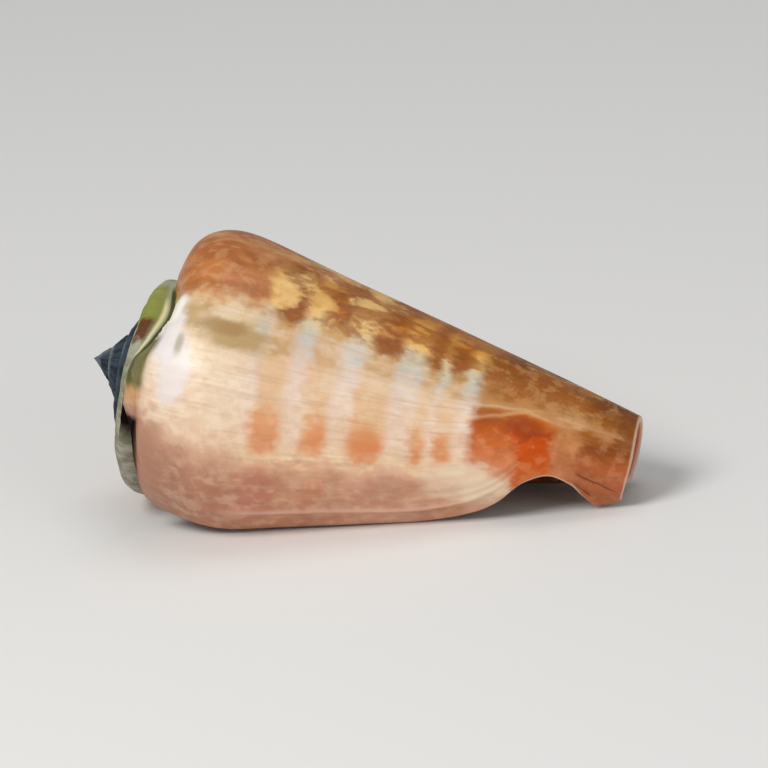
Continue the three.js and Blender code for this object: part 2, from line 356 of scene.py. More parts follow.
outer_edge = np.concatenate([last_whorl[0], last_whorl[1 : MOUTH_ROWS + 1, -1]])
inner_edge = np.concatenate([lining_rows[0], lining_rows[1:, -1]])
outward = at(last_whorl[0]) - at(last_whorl[1])
outward = np.concatenate([outward, np.tile([1.0, 0, 0], (MOUTH_ROWS, 1))])
outward /= np.linalg.norm(outward, axis=1, keepdims=True)
swell = LIP_ROUND * np.minimum(1, np.arange(len(outer_edge)) / RIM_FADE)[:, None]
middle, half = (at(outer_edge) + at(inner_edge)) / 2, (at(outer_edge) - at(inner_edge)) / 2
edge = outer_edge
for step in range(1, RIM_STEPS):
    around = np.pi * step / RIM_STEPS
    rim_traits = traits_at(outer_edge)
    rim_traits[:, LAYER_COLUMN] = LINING * step / RIM_STEPS
    ring = line_of_points(middle + half * np.cos(around) + outward * swell * np.sin(around), rim_traits)
    same_as[ring[0]] = inner_wall[0, 1]
    ribbon(edge, ring)
    edge = ring
ribbon(edge, inner_edge)
print("Length of the rim in mm:", round(float(np.linalg.norm(np.diff(middle, axis=0), axis=1).sum()), 1))


# %% Dead end
def zip_up(first, second):
    """Three-sided faces between two lines with unlike counts, first to first and last to last."""
    i = j = 0
    made = []
    while i < len(first) - 1 or j < len(second) - 1:
        first_next, second_next = (i + 1) / (len(first) - 1), (j + 1) / (len(second) - 1)
        if j == len(second) - 1 or (i < len(first) - 1 and first_next <= second_next):
            made.append([first[i], first[i + 1], second[j]])
            i += 1
        else:
            made.append([first[i], second[j + 1], second[j]])
            j += 1
    faces.append(np.array(made))


zip_up(inner_wall[-1, 1:], lining_rows[-1])
print("Faces in the dead end:", len(faces[-1]))

# %% Columella tip and apex
TIP_DOME, TIP_TOP = 0.25, 0.3
TIP_RING = 0.75
tip = np.concatenate([
    last_whorl[MOUTH_ROWS:-1, -1], inner_wall[:, -1], lining_rows[-1, -1:], edge[-1:],
])
around_tip = at(tip)
centre = around_tip.mean(0)
dome = centre + (around_tip - centre) * TIP_RING + np.array([TIP_DOME, 0, 0])
ring = line_of_points(dome, traits_at(tip))
middle_tip = line_of_points([centre + np.array([TIP_TOP, 0, 0])], [traits_at(tip)[0]])[0]
after = np.roll(np.arange(len(tip)), -1)
faces.append(np.stack([tip[after], tip, ring, ring[after]], -1))
faces.append(np.stack([ring[after], ring, np.full(len(ring), middle_tip)], -1))
last_row = spire[-1]
faces.append(np.stack([last_row[:-1], last_row[1:], np.full(RAMP_COLUMNS, apex)], -1))
print("Vertices round the tip:", len(tip))

# %% [markdown]
# ## Relief
#
# A polished cast of this form would look like plastic. The real surface has low swells where growth
# paused, a ridge just behind the lip, two folds on the lobe at the front, a worn spire and a crust of
# algae in the suture. Sculpting them by hand can't be repeated, so each is a small rule in growth angle
# and station, added along the vertex normals. The finest lines stay in the material.


# %% Rules for the relief, in millimetres
MM_PER_DEGREE = 0.235
FRONT_MM_PER_DEGREE = 0.09
LONG_SWELL, SHORT_SWELL, CROWDED, WORN, CRUST = 0.045, 0.03, 0.02, 0.1, 0.07
LIP_RIDGE, LIP_GROOVE = 0.2, 0.12
SPIRE_FROM = 355, 375
FOLDS = [(0.2, (-46, 45.4), (-22, 49.2), 0.28), (0.14, (-37, 45.4), (-17, 47.3), 0.22)]
waves = np.random.default_rng(11).uniform(-1, 1, (9, 3))


def swell_of(x, y):
    """Uneven low relief from crossed waves, between about -1 and 1."""
    return sum(np.sin(6 * a * x + 6 * b * y + 9 * c) for a, b, c in waves) / 4


def ridge(x, width):
    """A rounded ridge, 1 high, where x is near 0."""
    return np.exp(-((x / width) ** 2))


def fold(growth, station, start, end, width):
    """1 on a line from start to end, each a growth angle and a station, and 0 away from it."""
    here = np.stack([growth * FRONT_MM_PER_DEGREE, station], 1)
    first, second = (np.array([g * FRONT_MM_PER_DEGREE, s]) for g, s in (start, end))
    run = second - first
    part = np.clip((here - first) @ run / (run @ run), 0, 1)
    gap = np.linalg.norm(here - first - part[:, None] * run, axis=1)
    return ridge(gap, width) * ease(part, 0, 0.15) * (1 - ease(part, 0.85, 1))


def relief(growth, place, station, line, layer, ramp):
    """How far the skin is raised at each point, from all of its traits."""
    arc = line * MM_PER_DEGREE
    outside = 1 - ease(layer, 0, 1)
    spire = ease(-line, *SPIRE_FROM) * outside
    seam = ease(ramp, 0, 0.12) * np.where(spire > 0, 1 - ease(ramp, 0.86, 1), 1)
    short = SHORT_SWELL * swell_of(arc * 0.9, station * 0.05)
    long = LONG_SWELL * swell_of(arc * 0.25, station * 0.12)
    crowded = CROWDED * swell_of(arc * 2.4, station * 0.04) * ease(line, -60, -10)
    by_lip = ease(place, 3, 4.6) * (1 - ease(place, 6.9, 7.4))
    lip = by_lip * (LIP_RIDGE * ridge(line + 12.5, 2.3) - LIP_GROOVE * ridge(line + 7.5, 2.6))
    folds = -sum(depth * fold(growth, station, *course) for depth, *course in FOLDS)
    worn = -WORN * np.maximum(swell_of(arc * 1.4, station * 2.2), 0) * spire
    crust_at = (1 - ease(ramp, 0.15, 0.5)) * (1 - ease(growth, -62, -52))
    crust = CRUST * np.maximum(swell_of(arc * 3.1, station * 2.7), 0) * crust_at
    return outside * seam * (short + long + crowded + lip + folds + worn + crust)


print("Deepest fold in mm:", FOLDS[0][0])

# %% [markdown]
# ## The mesh
#
# The faces are put together without the corners that sewing made double, and the shell is laid on its
# mouth, as it comes to rest on a table. A real shell's relief is part of its wall, so each vertex is moved
# along its normal, and the whole is then fitted into the box of the solid part, so that both agree.
# Smooth shading without a subdivision surface keeps the mesh as fine as it was built and no finer.

# %% Faces
numbers = np.arange(sum(len(part) for part in points))
for number, other in same_as.items():
    numbers[number] = other
while (numbers != numbers[numbers]).any():
    numbers = numbers[numbers]
everything, all_traits = np.concatenate(points), np.concatenate(traits)
corner_lists = []
for part in faces:
    for face in part.tolist():
        kept = [c for n, c in enumerate(face) if numbers[c] != numbers[face[n - 1]]]
        if len(kept) > 2:
            corner_lists.append(kept)
corners = np.concatenate([np.array(face) for face in corner_lists])
used, place_of = np.unique(numbers[corners], return_inverse=True)
ends = np.cumsum([len(face) for face in corner_lists])
polygons = [part.tolist() for part in np.split(place_of, ends[:-1])]
print("Triangles:", sum(len(face) - 2 for face in polygons))

# %% Laid on the table, raised and fitted
lay = Matrix.Rotation(np.radians(REST_DIP), 3, "Y") @ Matrix.Rotation(np.radians(REST_ROLL), 3, "X")
laid = everything[used] @ np.array(lay).T
skin_mesh = bpy.data.meshes.new("shell_skin")
skin_mesh.from_pydata(laid.tolist(), [], polygons)
normals = np.empty(len(used) * 3)
skin_mesh.vertex_normals.foreach_get("vector", normals)
raised = laid + normals.reshape(-1, 3) * relief(*all_traits[used].T)[:, None]

low, high = (np.array(corner) * 1000 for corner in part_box("shell"))
fit = min(1, ((high - low) / np.ptp(raised, axis=0)).min())
raised *= fit
shift = (low + high) / 2 - (raised.min(0) + raised.max(0)) / 2
shift[2] = low[2] - raised[:, 2].min()
raised += shift
skin_mesh.vertices.foreach_set("co", (raised / 1000).ravel())
print("Fit to the solid's box:", round(float(fit), 5))

# %% Traits and object
for name, values in zip(TRAITS, all_traits[corners].T):
    kept = skin_mesh.attributes.new(name, "FLOAT", "CORNER")
    kept.data.foreach_set("value", values.astype(np.float32))
skin_mesh.shade_smooth()
skin_mesh.update()
shell = bpy.data.objects.new("conch_shell", skin_mesh)
bpy.context.scene.collection.objects.link(shell)
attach(shell, "root")
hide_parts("shell")
print("Traits on the corners:", ", ".join(TRAITS))

# %% [markdown]
# ## The finish
#
# A sea shell is aragonite, a form of lime, laid down in crossed fibres and finished with a glaze of the
# same mineral. To the eye that is porcelain: pale, faintly see-through at thin edges, with a soft clear
# gloss over fine growth lines. The colours are pigments in the outer layer. They lie in spiral bands,
# because each spot of the lip keeps or drops its pigment for a while, and in clouds where it comes and goes.
#
# An image could carry this, but a pattern in growth angle and station follows the shell round the back
# and under the lip. So the whole finish is one material, built up like glazes: a ground, and coats of
# pigment over it, each held by a mask.


# %% Nodes, masks and coats
def linear(shade):
    """An sRGB hex colour as the linear values that a shader takes."""
    parts = [int(shade[i : i + 2], 16) / 255 for i in (1, 3, 5)]
    return [c / 12.92 if c <= 0.04045 else ((c + 0.055) / 1.055) ** 2.4 for c in parts] + [1.0]


glaze = bpy.data.materials.new("glazed_aragonite")
glaze.use_nodes = True
tree = glaze.node_tree
tree.nodes.remove(tree.nodes["Principled BSDF"])


def add(kind, inputs, out=0, stops=(), **settings):
    """Adds one node, with its settings, its inputs as values or links, and the stops of its colour row."""
    made = tree.nodes.new("ShaderNode" + kind)
    for name, value in settings.items():
        setattr(made, name, value)
    for socket, value in inputs.items():
        if isinstance(value, bpy.types.NodeSocket):
            tree.links.new(value, made.inputs[socket])
        else:
            made.inputs[socket].default_value = value
    for n, (position, value) in enumerate(stops):
        row = made.color_ramp.elements
        stop = row[n] if n < 2 else row.new(position)
        stop.position = position
        stop.color = linear(value) if isinstance(value, str) else (value, value, value, 1)
    return made.outputs[out]


def all_of(*masks):
    """The part that several masks share, thinned where one of them is a plain number."""
    shared = masks[0]
    for mask in masks[1:]:
        shared = add("Math", {0: shared, 1: mask}, operation="MULTIPLY")
    return shared


def between(x, low, high, soft):
    """A mask that is 1 from low to high and fades over soft. None leaves that side open."""
    edges = [(edge, side * soft) for edge, side in ((low, 1), (high, -1)) if edge is not None]
    return all_of(*(
        add("MapRange", {0: x, 1: edge - fade, 2: edge + fade}, interpolation_type="SMOOTHSTEP")
        for edge, fade in edges
    ))


def paint(ground, *coats):
    """Lays coats over a ground, each a pigment, how strong it is, and the masks that hold it."""
    ground = linear(ground) if isinstance(ground, str) else ground
    for pigment, strength, *masks in coats:
        pigment = linear(pigment) if isinstance(pigment, str) else pigment
        mask = all_of(*masks) if strength == 1 else all_of(*masks, strength)
        ground = add("Mix", {0: mask, 6: ground, 7: pigment}, out=2, data_type="RGBA")
    return ground


print("Cream in linear values:", [round(c, 3) for c in linear("#e9c9a4")])

# %% [markdown]
# ### Where a point is on the shell
#
# The traits of the face corners tell a shader where it is: how old the shell is there, the station along
# the axis in mm, the row that follows the lip, and the layer. Growth angle times the arc of one degree on
# the last whorl gives mm round the shell, so that grains keep a real size in both directions.

# %% Traits as shader values
growth, place_on, station, line, layer, ramp = (
    add("Attribute", {}, out=2, attribute_name=name) for name in TRAITS
)
arc = add("Math", {0: growth, 1: MM_PER_DEGREE}, operation="MULTIPLY")
skin = add("CombineXYZ", {0: arc, 1: station, 2: layer})
row_arc = add("Math", {0: line, 1: MM_PER_DEGREE}, operation="MULTIPLY")
row_skin = add("CombineXYZ", {0: row_arc, 1: station, 2: layer})
print("Traits:", ", ".join(TRAITS))

# %% [markdown]
# ### Grain
#
# On the real shell the pigment lies in clouds of 2 to 5 mm with flecks of about 1 mm between them, and
# that is drawn true to size. Growth lines are 0.05 to 0.1 mm apart, about one pixel of the render, and
# spiral threads about 0.2 mm, so both are drawn coarser, 0.5 and 0.45 mm apart, to show at all.

# %% Noise with grains in millimetres
LAYER_STEP = 0.3


def grain(mm_round, mm_along, detail, seed, on=skin):
    """Noise with grains of two lengths: round the shell and along its axis."""
    per_mm = (1 / mm_round, 1 / mm_along, LAYER_STEP)
    at_grain = add("VectorMath", {0: on, 1: per_mm, 2: (seed, seed, seed)}, operation="MULTIPLY_ADD")
    return add("TexNoise", {"Vector": at_grain, "Scale": 1.0, "Detail": detail, "Roughness": 0.55})


patches = grain(4.5, 3.6, detail=3.0, seed=3.3)
blotches = grain(2.2, 3.0, detail=4.0, seed=6.4)
flecks = grain(0.9, 1.1, detail=4.0, seed=9.7)
flames = grain(3.6, 9.0, detail=3.0, seed=2.9)
growth_streaks = grain(0.5, 7.0, detail=4.0, seed=5.2, on=row_skin)
threads = grain(9.0, 0.45, detail=3.0, seed=1.6)
print("Nodes so far:", len(tree.nodes))

# %% [markdown]
# ### Rows of colour
#
# Each spiral zone of the shell has its own row of colours from old to young. A colour row node holds one
# such row, and noise pushes the measures to and fro, so that no edge is drawn with a ruler. Single spots
# and lines, which no noise would put in the right place, get masks of their own.

# %% Warped measures
OLD, YOUNG = -138.0, -8.0


def warped(x, by_patches, by_flecks):
    """The same measure, pushed to and fro by the patches and the flecks."""
    x = add("Math", {0: patches, 1: by_patches, 2: x}, operation="MULTIPLY_ADD")
    x = add("Math", {0: flecks, 1: by_flecks, 2: x}, operation="MULTIPLY_ADD")
    return add("Math", {0: x, 1: (by_patches + by_flecks) / 2}, operation="SUBTRACT")


age = warped(growth, 22.0, 13.0)
wobble = warped(station, 1.6, 1.3)
front_wobble = warped(station, 4.0, 2.0)
part_of_growth = add("MapRange", {0: age, 1: OLD, 2: YOUNG})
print("The rows span", YOUNG - OLD, "degrees of growth")


# %% Rows, spots and lines
STATIONS = 50.0
LINE_REACH = 150.0
WANDER = 4.0


def by_age(*keys):
    """A row of colours, each at its growth angle, that run into each other."""
    stops = [((at_growth - OLD) / (YOUNG - OLD), shade) for at_growth, shade in keys]
    return add("ValToRGB", {0: part_of_growth}, stops=stops)


def spot(at_growth, at_station, degrees, mm, ragged=0.8, soft=0.35):
    """The mask of one soft uneven spot, with its half sizes in degrees and mm."""
    here = add("CombineXYZ", {0: growth, 1: station})
    here = add("VectorMath", {0: here, 1: (at_growth, at_station, 0)}, operation="SUBTRACT")
    here = add("VectorMath", {0: here, 1: (1 / degrees, 1 / mm, 0)}, operation="MULTIPLY")
    away = add("VectorMath", {0: here}, out=1, operation="LENGTH")
    for noise in (flecks, blotches):
        away = add("Math", {0: noise, 1: ragged, 2: away}, operation="MULTIPLY_ADD")
    return between(away, None, 1 + ragged, soft)


def growth_line(half_width, soft, *keys):
    """The mask of a thin line through some stations, each with the growth angle that it has there."""
    stops = [(at_station / STATIONS, (at_growth + LINE_REACH) / LINE_REACH) for at_station, at_growth in keys]
    part_of_axis = add("Math", {0: station, 1: STATIONS}, operation="DIVIDE")
    course = add("ValToRGB", {0: part_of_axis}, stops=stops)
    course = add("Math", {0: course, 1: LINE_REACH}, operation="MULTIPLY")
    off = add("Math", {0: add("Math", {0: growth, 1: LINE_REACH}), 1: course}, operation="SUBTRACT")
    off = add("Math", {0: patches, 1: WANDER, 2: off}, operation="MULTIPLY_ADD")
    return between(off, WANDER / 2 - half_width, WANDER / 2 + half_width, soft)


print("Lines wander by this many degrees:", WANDER)

# %% [markdown]
# ### Shoulder and flank
#
# The shoulder is orange brown where it is old, cream in the middle and pink brown towards the lip. Down
# the flank, darker bands of 1 to 3 mm take turns with paler ones. In the old part they are brown and
# cream, then bluish white and tan, then orange spots on cream. So the flank has two rows of colour, one
# for either kind of band, and one mask along the axis chooses between them.

# %% Spiral bands
BANDS = [(17.7, 20.2), (21.9, 24.3), (26.2, 29.0), (31.2, 32.5), (33.3, 34.9)]
BAND_EDGE = 0.45
band_stops = [(0.0, 0.0)]
for start, end in BANDS:
    for edge, before, after_edge in ((start, 0, 1), (end, 1, 0)):
        band_stops += [((edge - BAND_EDGE) / STATIONS, before), ((edge + BAND_EDGE) / STATIONS, after_edge)]
part_of_axis = add("Math", {0: wobble, 1: STATIONS}, operation="DIVIDE")
bands = add("ValToRGB", {0: part_of_axis}, stops=band_stops)
print("Width of the bands in mm:", [round(end - start, 1) for start, end in BANDS])

# %% Colours of shoulder and flank
FLANK_STARTS = 16.8
on_shoulder = by_age(
    (-138, "#ab5e22"), (-120, "#bc7336"), (-108, "#bd763e"), (-101, "#cd9a66"), (-96, "#dec49a"),
    (-86, "#e8d0ac"), (-70, "#f2d9bc"), (-52, "#f1d5b8"), (-46, "#ecc9aa"), (-38, "#d6a688"),
    (-28, "#bd8266"), (-12, "#ba7c60"),
)
paler_bands = by_age(
    (-138, "#bd7c2e"), (-124, "#d29240"), (-112, "#e8b664"), (-106, "#d8b984"), (-101, "#cdc4a8"),
    (-93, "#c4c1b4"), (-86, "#d8c6b6"), (-72, "#ecd1bc"), (-52, "#eecfb2"), (-42, "#f8d9b3"),
    (-37, "#ebbd9a"), (-31, "#cf9674"), (-12, "#c98c6b"),
)
darker_bands = by_age(
    (-138, "#a0590c"), (-124, "#ba6c16"), (-112, "#b46816"), (-105, "#965410"), (-100, "#bf9358"),
    (-94, "#d9b48c"), (-88, "#c99f70"), (-80, "#e2bd94"), (-64, "#e8bf96"), (-58, "#e6a26e"),
    (-50, "#df8d58"), (-45, "#e8a578"), (-40, "#f6d4aa"), (-36, "#e8b490"), (-30, "#ce8e6b"),
    (-12, "#c78665"),
)
flank = paint(paler_bands, (darker_bands, 1, bands))
colour = paint(on_shoulder, (flank, 1, between(wobble, FLANK_STARTS, None, 0.7)))
print("Nodes so far:", len(tree.nodes))

# %% [markdown]
# ### Mottling
#
# The pale part of the real shell isn't even: it has faint darker flecks, paler clouds and the first hint
# of growth lines. The older part is blotched with brown on ochre, and round the back the blotches run
# out into longer flames. Noise of the right grain gives both, with weak coats where the mottling is faint.

# %% Mottled young and old parts
PALE_FROM = -101
pale_part = between(age, PALE_FROM, None, 5)
older = between(age, None, PALE_FROM, 5)
older_flank = all_of(older, between(wobble, 16.6, 36, 0.8))
older_shoulder = all_of(older, between(wobble, None, 16.6, 0.8))
round_the_back = between(age, None, -132, 10)
colour = paint(
    colour,
    ("#d2a982", 0.28, pale_part, between(flecks, 0.5, None, 0.1)),
    ("#fbeedd", 0.2, pale_part, between(age, None, -60, 6), between(blotches, 0.53, None, 0.08)),
    ("#b98a66", 0.2, pale_part, between(growth_streaks, 0.56, None, 0.08)),
    ("#e9c17c", 0.8, older, between(wobble, 16.8, 27, 1.5), between(patches, 0.48, None, 0.06)),
    ("#d9a05c", 0.6, round_the_back, between(flames, 0.52, None, 0.06)),
    ("#97520a", 0.75, older_flank, between(blotches, 0.52, None, 0.06)),
    ("#854404", 0.6, older_flank, bands, between(flecks, 0.48, None, 0.08)),
    ("#94501f", 0.55, older_shoulder, between(blotches, 0.5, None, 0.1)),
    ("#d8a06a", 0.4, older_shoulder, between(flecks, 0.56, None, 0.1)),
    ("#f0c276", 0.8, spot(-113, 18.2, 7, 1.2, 1.6, 0.5)),
    ("#e8b868", 0.7, spot(-117, 21.1, 6, 1.1, 1.6, 0.5)),
    ("#d97c3c", 0.35, spot(-50, 27.6, 8, 1.6, 1.4, 0.5)),
)
print("Nodes so far:", len(tree.nodes))

# %% [markdown]
# ### Front end
#
# From about 36 mm the shell narrows to the front. It has no bands there: a strong orange patch lies
# behind the notch, a salmon neck beside it, and the lobe at the very front is brown. Growth and station
# crowd together on so narrow a part and would draw its noise like wood grain. So the clouds here, 3 and
# 1.2 mm wide, come from plain positions on the object, which are in metres.

# %% Colours of the front end
FRONT_STARTS, NOTCH_STARTS, NECK_STARTS, LOBE_STARTS = 36.3, 40.2, 43.4, 45.7
FRONT_CLOUD, FRONT_FLECK = 3.0, 1.2
in_space = add("TexCoord", {}, out="Object")
front_patches, front_flecks = (
    add("TexNoise", {"Vector": in_space, "Scale": 1000 / mm, "Detail": detail, "Roughness": 0.6})
    for mm, detail in ((FRONT_CLOUD, 4.0), (FRONT_FLECK, 3.0))
)
behind_notch = by_age(
    (-138, "#6f3c0a"), (-116, "#8f5318"), (-104, "#a2642a"), (-94, "#b07a42"), (-86, "#c08a5a"),
    (-79, "#b96424"), (-70, "#b6520f"), (-62, "#c96830"), (-52, "#d68050"), (-43, "#d08058"),
    (-36, "#e2b898"), (-24, "#e6c8ae"), (-12, "#d8a88c"),
)
at_notch = by_age(
    (-138, "#6f3c0a"), (-110, "#9c5f24"), (-98, "#bd8850"), (-88, "#c08a52"), (-82, "#bb5f14"),
    (-74, "#a84000"), (-64, "#c44c00"), (-52, "#c95208"), (-42, "#cb5f20"), (-30, "#c96836"),
    (-12, "#c87450"),
)
neck = by_age(
    (-138, "#6f3c0a"), (-112, "#a46c2c"), (-100, "#c08d58"), (-90, "#d0a074"), (-82, "#b87e46"),
    (-70, "#c47e48"), (-40, "#c67c52"), (-12, "#c27452"),
)
lobe = by_age(
    (-138, "#663408"), (-112, "#864604"), (-102, "#94500c"), (-94, "#b47a46"), (-88, "#c08a5c"),
    (-80, "#9d5a20"), (-72, "#84420a"), (-62, "#9a501a"), (-52, "#b46030"), (-38, "#b06038"),
    (-12, "#b66a44"),
)
print("Nodes so far:", len(tree.nodes))

# %% Front end, coat by coat
oldest, middle_aged, younger = (
    between(age, None, -128, 10), between(age, -130, -93, 5), between(age, -80, None, 6),
)
front_edge = all_of(between(front_wobble, 48.4, None, 0.45), between(growth, None, -74, 12))
front = paint(
    behind_notch,
    (at_notch, 1, between(front_wobble, NOTCH_STARTS, None, 0.6)),
    (neck, 1, between(front_wobble, NECK_STARTS, None, 0.7)),
    (lobe, 1, between(front_wobble, LOBE_STARTS, None, 0.7)),
    ("#b3783c", 0.6, oldest, between(front_patches, 0.52, None, 0.06)),
    ("#d3a263", 0.4, oldest, between(front_flecks, 0.56, None, 0.07)),
    ("#984f08", 0.65, middle_aged, between(front_patches, 0.5, None, 0.05)),
    ("#c08a50", 0.5, between(age, -130, -90, 5), between(front_flecks, 0.54, None, 0.06)),
    ("#7c430a", 0.5, between(age, None, -96, 8), between(front_patches, None, 0.44, 0.05)),
    ("#e0a070", 0.25, younger, between(front_flecks, 0.55, None, 0.08)),
    ("#9c4a18", 0.3, younger, between(front_patches, 0.55, None, 0.08)),
    ("#7c4210", 0.75, front_edge, between(ramp, 0.5, None, 0.1)),
    ("#9a3c08", 0.7, spot(-76, 40.6, 8, 1.5)),
    ("#8e4c1c", 0.5, spot(-78, 37.6, 6, 1.6)),
)
sharp_border, soft_border = between(wobble, FRONT_STARTS, None, 0.7), between(front_wobble, 36.6, None, 2.8)
at_front = add("Mix", {0: round_the_back, 2: sharp_border, 3: soft_border}, data_type="FLOAT")
colour = paint(
    colour,
    ("#a4682a", 0.6, round_the_back, between(front_wobble, 33.0, None, 2.5)),
    (front, 1, at_front),
)
print("Nodes so far:", len(tree.nodes))

# %% [markdown]
# ### Marks of this one shell, with painted highlights and shade
#
# Each shell also has marks that no rule gives: here a tan patch and pale patches on the shoulder, a small
# grey mark and thin pale lines where growth paused. Light and shade are painted here too: a near-white
# painted highlight on the shoulder, painted shade along two creases on the lobe, and a pale painted
# highlight along the ridge that follows the lip. They could be painted on a map by hand. Placed one by one,
# by growth angle and station, they stay sharp at any size and can be moved by changing two numbers.

# %% Spots
young_flank = all_of(between(age, -38, None, 6), between(wobble, 26, 34.5, 2.5))
by_lip = all_of(between(age, -40, None, 5), between(station, None, 35.5, 2))
colour = paint(
    colour,
    ("#b4935e", 0.8, spot(-92, 10.8, 5, 2.6)),
    ("#b08f58", 0.85, spot(-87, 15.0, 6, 3.4)),
    ("#98703f", 0.5, spot(-89, 13.8, 3.0, 2.2)),
    ("#ece4e2", 0.85, spot(-86, 8.8, 14, 1.5)),
    ("#ebe2e0", 0.75, spot(-69, 10.3, 13, 1.6)),
    # Painted highlight: a near-white glint on the shoulder, next to the pale patches.
    ("#fbf7ea", 0.9, spot(-97, 8.6, 7, 1.0, 0.4)),
    ("#8c8860", 0.6, spot(-79.5, 10.2, 4.5, 0.4, 1.2, 0.6)),
    ("#f0d8ba", 0.8, spot(-33, 36.2, 13, 3.2)),
    ("#dfb196", 0.45, young_flank),
    ("#b9685a", 0.45, spot(-22, 18.4, 14, 1.6)),
    ("#a0765a", 0.45, between(age, -40, None, 8), between(wobble, None, 12.5, 1.5)),
    ("#e9bfa6", 0.35, by_lip, between(flecks, 0.56, None, 0.12)),
    ("#a8674c", 0.35, by_lip, between(blotches, 0.54, None, 0.12)),
)
print("Nodes so far:", len(tree.nodes))

# %% Lines where growth paused, painted shade in the creases and a painted highlight along the lip
upper_line = growth_line(
    0.4, 1.8, (8, -106), (10, -101), (14, -92), (18, -88), (23.3, -86), (29.5, -84), (33, -82),
    (36.5, -84), (40, -88), (43.3, -94),
)
lower_line = growth_line(
    0.6, 2.0, (28, -66), (33, -71), (36, -74), (38.5, -80), (40.8, -88), (42.2, -86), (44, -84),
    (47.2, -88),
)
# Painted shade: dark brown lines along the two folds of the relief on the lobe.
first_crease_shade = growth_line(1.0, 1.2, (45.4, -46), (45.9, -43), (47.7, -34), (48.8, -25), (49.3, -22))
second_crease_shade = growth_line(1.0, 1.2, (45.2, -39), (45.7, -34), (46.9, -21), (47.6, -14))
colour = paint(
    colour,
    ("#f2d9b0", 0.6, upper_line, between(station, 27, 41, 4)),
    ("#efbe8c", 0.65, lower_line, between(station, 31, 44, 3)),
    # Painted shade in the two creases.
    ("#5e2a12", 0.8, first_crease_shade, between(station, 45.8, 49.0, 0.3)),
    ("#5e2a12", 0.7, second_crease_shade, between(station, 45.6, 47.1, 0.3)),
    # Painted highlight: a pale line on the ridge just behind the lip.
    ("#f0c6b2", 0.55, between(line, -13.6, -11.4, 1.3), between(station, 16, 37, 2)),
)
print("Nodes so far:", len(tree.nodes))

# %% [markdown]
# ### Algae and the gap at the suture
#
# A thin film of green and olive algae grows where the last whorl meets the one before, because wet grit
# stays there. The trait called ramp is 0 at that seam and 1 at the next one out, so a few masks on it
# follow the seam all the way. By the lip the sinus leaves a narrow gap that lies in shadow: a real opening
# so thin would need a much finer mesh, and the eye sees only that no light comes back from it, so its
# shade is painted on as a near-black mark.

# %% Algae and gap
gap_begins = warped(growth, 0.0, 5.0)
lip_gap_shade = all_of(between(place_on, None, 1.5, 0.25), between(gap_begins, -45, None, 2.5))
colour = paint(
    colour,
    ("#d3d596", 0.5, between(ramp, None, 0.42, 0.14), between(growth, -112, -92, 6)),
    ("#ad7a5e", 0.85, between(wobble, None, 10.0, 1.6), between(age, -49, None, 6)),
    ("#c08646", 0.8, between(ramp, None, 0.46, 0.12), between(growth, -62, -51, 3)),
    ("#5a5a1c", 0.9, between(ramp, None, 0.52, 0.12), between(growth, -84, -58, 3)),
    ("#4b4a1a", 0.85, between(ramp, None, 0.15, 0.06), between(growth, -175, -58, 6)),
    (
        "#6d6a3a", 0.7, between(ramp, None, 0.2, 0.12), between(growth, None, -170, 20),
        between(flecks, 0.45, None, 0.1),
    ),
    # Painted shade: near-black in the narrow gap by the lip.
    ("#120502", 1, lip_gap_shade),
)
print("Nodes so far:", len(tree.nodes))

# %% [markdown]
# ### Spire
#
# The older whorls have lost their glaze. The one before the last is chalky grey, with a green hump, a
# brown spot and a pale strip beside the suture. The first whorls, up to the apex, are dull slate blue.
# They share the mesh with the rest, so they are coats in the same material and not a second one.

# %% Grey whorl, slate tip
chalk = paint(
    "#857b6c",
    ("#b4b1a2", 0.7, between(flecks, 0.52, None, 0.1)),
    ("#7f8a5a", 0.5, between(blotches, 0.55, None, 0.1)),
    ("#a3a48a", 0.9, between(growth, -505, -432, 8)),
    (
        "#868b42", 1, between(age, -492, -452, 7), between(ramp, 0.42, 0.95, 0.06),
        between(blotches, 0.34, None, 0.14),
    ),
    ("#5e2d0c", 0.95, between(age, -458, -440, 3.5), between(ramp, 0.6, 0.92, 0.06)),
    ("#e6d8a8", 0.85, between(ramp, 0.935, 0.958, 0.012), between(growth, -474, -434, 6)),
    ("#3d3f14", 0.95, between(ramp, 0.972, None, 0.008), between(growth, -490, -432, 6)),
    ("#5c642c", 0.7, between(ramp, None, 0.3, 0.15), between(growth, None, -420, 30)),
)
# Painted shade: a near-black line in the gap where the suture of the last whorl meets the spire.
spire_gap_shade = all_of(between(ramp, 0.975, None, 0.012), between(growth, -412, -390, 8))
slate = paint(
    "#1d262f",
    ("#3c4852", 0.7, between(blotches, 0.5, None, 0.1)),
    ("#7e888e", 0.7, between(ramp, None, 0.2, 0.12), between(flecks, 0.4, None, 0.15)),
    ("#7b8388", 0.7, between(growth, None, -1560, 60)),
)
spire_colour = paint(chalk, ("#120502", 1, spire_gap_shade), (slate, 1, between(age, None, -640, 25)))
on_spire = all_of(
    between(growth, None, -336, 14), between(place_on, None, 4.3, 0.3), between(layer, None, 0.5, 0.2)
)
colour = paint(colour, (spire_colour, 1, on_spire))
print("Nodes so far:", len(tree.nodes))

# %% [markdown]
# ### Rim and mouth
#
# Fresh lime at the rim is nearly white. Inside, the mouth is salmon and darker with depth, and the older
# whorl that closes it on the inner side keeps a worn brown. The trait called layer tells them apart, so
# no face needs a material of its own.

